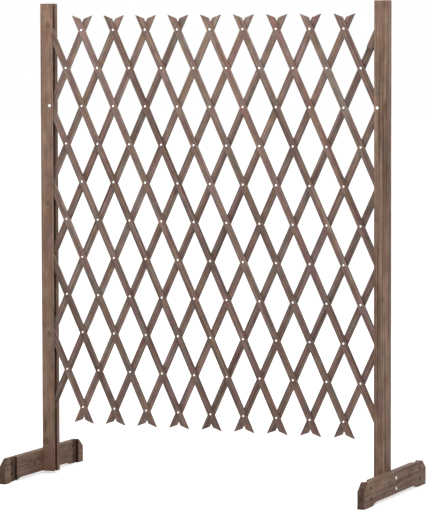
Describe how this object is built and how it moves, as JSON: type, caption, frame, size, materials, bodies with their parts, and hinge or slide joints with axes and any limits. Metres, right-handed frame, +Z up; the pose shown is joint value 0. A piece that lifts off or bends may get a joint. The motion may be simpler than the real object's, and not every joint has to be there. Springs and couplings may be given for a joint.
{
  "type": "expanding trellis",
  "caption": "Free-standing wooden plant trellis: a riveted scissor lattice of thin slats between two grooved posts on long feet, which folds and spreads sideways.",
  "frame": {"origin": "on the floor, midway between the two posts and between the front and rear ends of the feet", "axes": "+X across the panel from the left to the right post as seen from the front, +Y from front to back, +Z up"},
  "size_m": [1.1428, 0.5, 1.4],
  "materials": {
    "post_wood": "brown stain, matt",
    "foot_wood": "brown stain, matt",
    "slat_wood": "brown stain, matt",
    "rivet_metal": "plain",
    "screw_metal": "plain"
  },
  "bodies": {
    "left_frame": {"post_left": "post_wood", "foot_left": "foot_wood", "foot_screws_left": "screw_metal", "pivot_screw_left": "screw_metal"},
    "right_frame": {"post_right": "post_wood", "foot_right": "foot_wood", "foot_screws_right": "screw_metal", "pivot_screw_right": "screw_metal"},
    "front_01": {"slat_front_01": "slat_wood", "rivets_01": "rivet_metal"},
    "front_02": {"slat_front_02": "slat_wood", "rivets_02": "rivet_metal"},
    "front_03": {"slat_front_03": "slat_wood", "rivets_03": "rivet_metal"},
    "front_04": {"slat_front_04": "slat_wood", "rivets_04": "rivet_metal"},
    "front_05": {"slat_front_05": "slat_wood", "rivets_05": "rivet_metal"},
    "front_06": {"slat_front_06": "slat_wood", "rivets_06": "rivet_metal"},
    "front_07": {"slat_front_07": "slat_wood", "rivets_07": "rivet_metal"},
    "front_08": {"slat_front_08": "slat_wood", "rivets_08": "rivet_metal"},
    "front_09": {"slat_front_09": "slat_wood", "rivets_09": "rivet_metal"},
    "front_10": {"slat_front_10": "slat_wood", "rivets_10": "rivet_metal"},
    "front_11": {"slat_front_11": "slat_wood", "rivets_11": "rivet_metal"},
    "front_12": {"slat_front_12": "slat_wood", "rivets_12": "rivet_metal"},
    "front_13": {"slat_front_13": "slat_wood", "rivets_13": "rivet_metal"},
    "front_14": {"slat_front_14": "slat_wood", "rivets_14": "rivet_metal"},
    "rear_01": {"slat_rear_01": "slat_wood"},
    "rear_02": {"slat_rear_02": "slat_wood"},
    "rear_03": {"slat_rear_03": "slat_wood"},
    "rear_04": {"slat_rear_04": "slat_wood"},
    "rear_05": {"slat_rear_05": "slat_wood"},
    "rear_06": {"slat_rear_06": "slat_wood"},
    "rear_07": {"slat_rear_07": "slat_wood"},
    "rear_08": {"slat_rear_08": "slat_wood"},
    "rear_09": {"slat_rear_09": "slat_wood"},
    "rear_10": {"slat_rear_10": "slat_wood", "slat_offcut": "slat_wood"},
    "rear_11": {"slat_rear_11": "slat_wood"},
    "rear_12": {"slat_rear_12": "slat_wood"},
    "rear_13": {"slat_rear_13": "slat_wood"},
    "rear_14": {"slat_rear_14": "slat_wood"}
  },
  "joints": [
    {"name": "fold", "type": "hinge", "parent": "left_frame", "child": "front_04", "pos_m": [-0.51787, -0.0055, 1.098], "axis": [0, -1, 0], "range_deg": [-14.4, 21.1]},
    {"name": "pivot_rear_01", "type": "hinge", "parent": "left_frame", "child": "rear_01", "pos_m": [-0.51787, -0.0055, 1.098], "axis": [0, 1, 0], "range_deg": [-14.6, 21.3]},
    {"name": "rivet_rear_02", "type": "hinge", "parent": "front_04", "child": "rear_02", "pos_m": [-0.46609, -0.0055, 0.98643], "axis": [0, 1, 0], "range_deg": [-29, 42.4]},
    {"name": "rivet_rear_03", "type": "hinge", "parent": "front_04", "child": "rear_03", "pos_m": [-0.4143, -0.0055, 0.87487], "axis": [0, 1, 0], "range_deg": [-29, 42.4]},
    {"name": "rivet_rear_04", "type": "hinge", "parent": "front_04", "child": "rear_04", "pos_m": [-0.36251, -0.0055, 0.7633], "axis": [0, 1, 0], "range_deg": [-29, 42.4]},
    {"name": "rivet_rear_05", "type": "hinge", "parent": "front_04", "child": "rear_05", "pos_m": [-0.31072, -0.0055, 0.65173], "axis": [0, 1, 0], "range_deg": [-29, 42.4]},
    {"name": "rivet_rear_06", "type": "hinge", "parent": "front_04", "child": "rear_06", "pos_m": [-0.25894, -0.0055, 0.54017], "axis": [0, 1, 0], "range_deg": [-29, 42.4]},
    {"name": "rivet_rear_07", "type": "hinge", "parent": "front_04", "child": "rear_07", "pos_m": [-0.20715, -0.0055, 0.4286], "axis": [0, 1, 0], "range_deg": [-29, 42.4]},
    {"name": "rivet_rear_08", "type": "hinge", "parent": "front_04", "child": "rear_08", "pos_m": [-0.15536, -0.0055, 0.31704], "axis": [0, 1, 0], "range_deg": [-29, 42.4]},
    {"name": "rivet_rear_09", "type": "hinge", "parent": "front_04", "child": "rear_09", "pos_m": [-0.10358, -0.0055, 0.20547], "axis": [0, 1, 0], "range_deg": [-29, 42.4]},
    {"name": "rivet_front_05", "type": "hinge", "parent": "rear_09", "child": "front_05", "pos_m": [-0.05179, -0.0055, 0.31704], "axis": [0, -1, 0], "range_deg": [-29, 42.4]},
    {"name": "rivet_front_06", "type": "hinge", "parent": "rear_09", "child": "front_06", "pos_m": [0, -0.0055, 0.4286], "axis": [0, -1, 0], "range_deg": [-29, 42.4]},
    {"name": "rivet_front_07", "type": "hinge", "parent": "rear_09", "child": "front_07", "pos_m": [0.05179, -0.0055, 0.54017], "axis": [0, -1, 0], "range_deg": [-29, 42.4]},
    {"name": "rivet_front_08", "type": "hinge", "parent": "rear_09", "child": "front_08", "pos_m": [0.10358, -0.0055, 0.65173], "axis": [0, -1, 0], "range_deg": [-29, 42.4]},
    {"name": "rivet_front_09", "type": "hinge", "parent": "rear_09", "child": "front_09", "pos_m": [0.15536, -0.0055, 0.7633], "axis": [0, -1, 0], "range_deg": [-29, 42.4]},
    {"name": "rivet_front_10", "type": "hinge", "parent": "rear_09", "child": "front_10", "pos_m": [0.20715, -0.0055, 0.87487], "axis": [0, -1, 0], "range_deg": [-29, 42.4]},
    {"name": "rivet_front_11", "type": "hinge", "parent": "rear_09", "child": "front_11", "pos_m": [0.25894, -0.0055, 0.98643], "axis": [0, -1, 0], "range_deg": [-29, 42.4]},
    {"name": "rivet_front_12", "type": "hinge", "parent": "rear_09", "child": "front_12", "pos_m": [0.31072, -0.0055, 1.098], "axis": [0, -1, 0], "range_deg": [-29, 42.4]},
    {"name": "rivet_front_13", "type": "hinge", "parent": "rear_09", "child": "front_13", "pos_m": [0.36251, -0.0055, 1.20957], "axis": [0, -1, 0], "range_deg": [-29, 42.4]},
    {"name": "rivet_front_14", "type": "hinge", "parent": "rear_09", "child": "front_14", "pos_m": [0.4143, -0.0055, 1.32113], "axis": [0, -1, 0], "range_deg": [-29, 42.4]},
    {"name": "rivet_front_03", "type": "hinge", "parent": "rear_06", "child": "front_03", "pos_m": [-0.31072, -0.0055, 0.4286], "axis": [0, -1, 0], "range_deg": [-29, 42.4]},
    {"name": "rivet_front_02", "type": "hinge", "parent": "rear_06", "child": "front_02", "pos_m": [-0.36251, -0.0055, 0.31704], "axis": [0, -1, 0], "range_deg": [-29, 42.4]},
    {"name": "rivet_front_01", "type": "hinge", "parent": "rear_06", "child": "front_01", "pos_m": [-0.4143, -0.0055, 0.20547], "axis": [0, -1, 0], "range_deg": [-29, 42.4]},
    {"name": "rivet_rear_10", "type": "hinge", "parent": "front_10", "child": "rear_10", "pos_m": [0.25894, -0.0055, 0.7633], "axis": [0, 1, 0], "range_deg": [-29, 42.4]},
    {"name": "rivet_rear_11", "type": "hinge", "parent": "front_10", "child": "rear_11", "pos_m": [0.31072, -0.0055, 0.65173], "axis": [0, 1, 0], "range_deg": [-29, 42.4]},
    {"name": "rivet_rear_12", "type": "hinge", "parent": "front_10", "child": "rear_12", "pos_m": [0.36251, -0.0055, 0.54017], "axis": [0, 1, 0], "range_deg": [-29, 42.4]},
    {"name": "rivet_rear_13", "type": "hinge", "parent": "front_10", "child": "rear_13", "pos_m": [0.4143, -0.0055, 0.4286], "axis": [0, 1, 0], "range_deg": [-29, 42.4]},
    {"name": "rivet_rear_14", "type": "hinge", "parent": "front_10", "child": "rear_14", "pos_m": [0.46609, -0.0055, 0.31704], "axis": [0, 1, 0], "range_deg": [-29, 42.4]},
    {"name": "pivot_right", "type": "hinge", "parent": "front_14", "child": "right_frame", "pos_m": [0.51787, -0.0055, 1.098], "axis": [0, 1, 0], "range_deg": [-14.6, 21.3]}
  ],
  "couplings": [
    {"joint": "pivot_rear_01", "follows": "fold", "ratio": 1},
    {"joint": "rivet_rear_02", "follows": "fold", "ratio": 2},
    {"joint": "rivet_rear_03", "follows": "fold", "ratio": 2},
    {"joint": "rivet_rear_04", "follows": "fold", "ratio": 2},
    {"joint": "rivet_rear_05", "follows": "fold", "ratio": 2},
    {"joint": "rivet_rear_06", "follows": "fold", "ratio": 2},
    {"joint": "rivet_rear_07", "follows": "fold", "ratio": 2},
    {"joint": "rivet_rear_08", "follows": "fold", "ratio": 2},
    {"joint": "rivet_rear_09", "follows": "fold", "ratio": 2},
    {"joint": "rivet_front_05", "follows": "fold", "ratio": 2},
    {"joint": "rivet_front_06", "follows": "fold", "ratio": 2},
    {"joint": "rivet_front_07", "follows": "fold", "ratio": 2},
    {"joint": "rivet_front_08", "follows": "fold", "ratio": 2},
    {"joint": "rivet_front_09", "follows": "fold", "ratio": 2},
    {"joint": "rivet_front_10", "follows": "fold", "ratio": 2},
    {"joint": "rivet_front_11", "follows": "fold", "ratio": 2},
    {"joint": "rivet_front_12", "follows": "fold", "ratio": 2},
    {"joint": "rivet_front_13", "follows": "fold", "ratio": 2},
    {"joint": "rivet_front_14", "follows": "fold", "ratio": 2},
    {"joint": "rivet_front_03", "follows": "fold", "ratio": 2},
    {"joint": "rivet_front_02", "follows": "fold", "ratio": 2},
    {"joint": "rivet_front_01", "follows": "fold", "ratio": 2},
    {"joint": "rivet_rear_10", "follows": "fold", "ratio": 2},
    {"joint": "rivet_rear_11", "follows": "fold", "ratio": 2},
    {"joint": "rivet_rear_12", "follows": "fold", "ratio": 2},
    {"joint": "rivet_rear_13", "follows": "fold", "ratio": 2},
    {"joint": "rivet_rear_14", "follows": "fold", "ratio": 2},
    {"joint": "pivot_right", "follows": "fold", "ratio": 1}
  ]
}
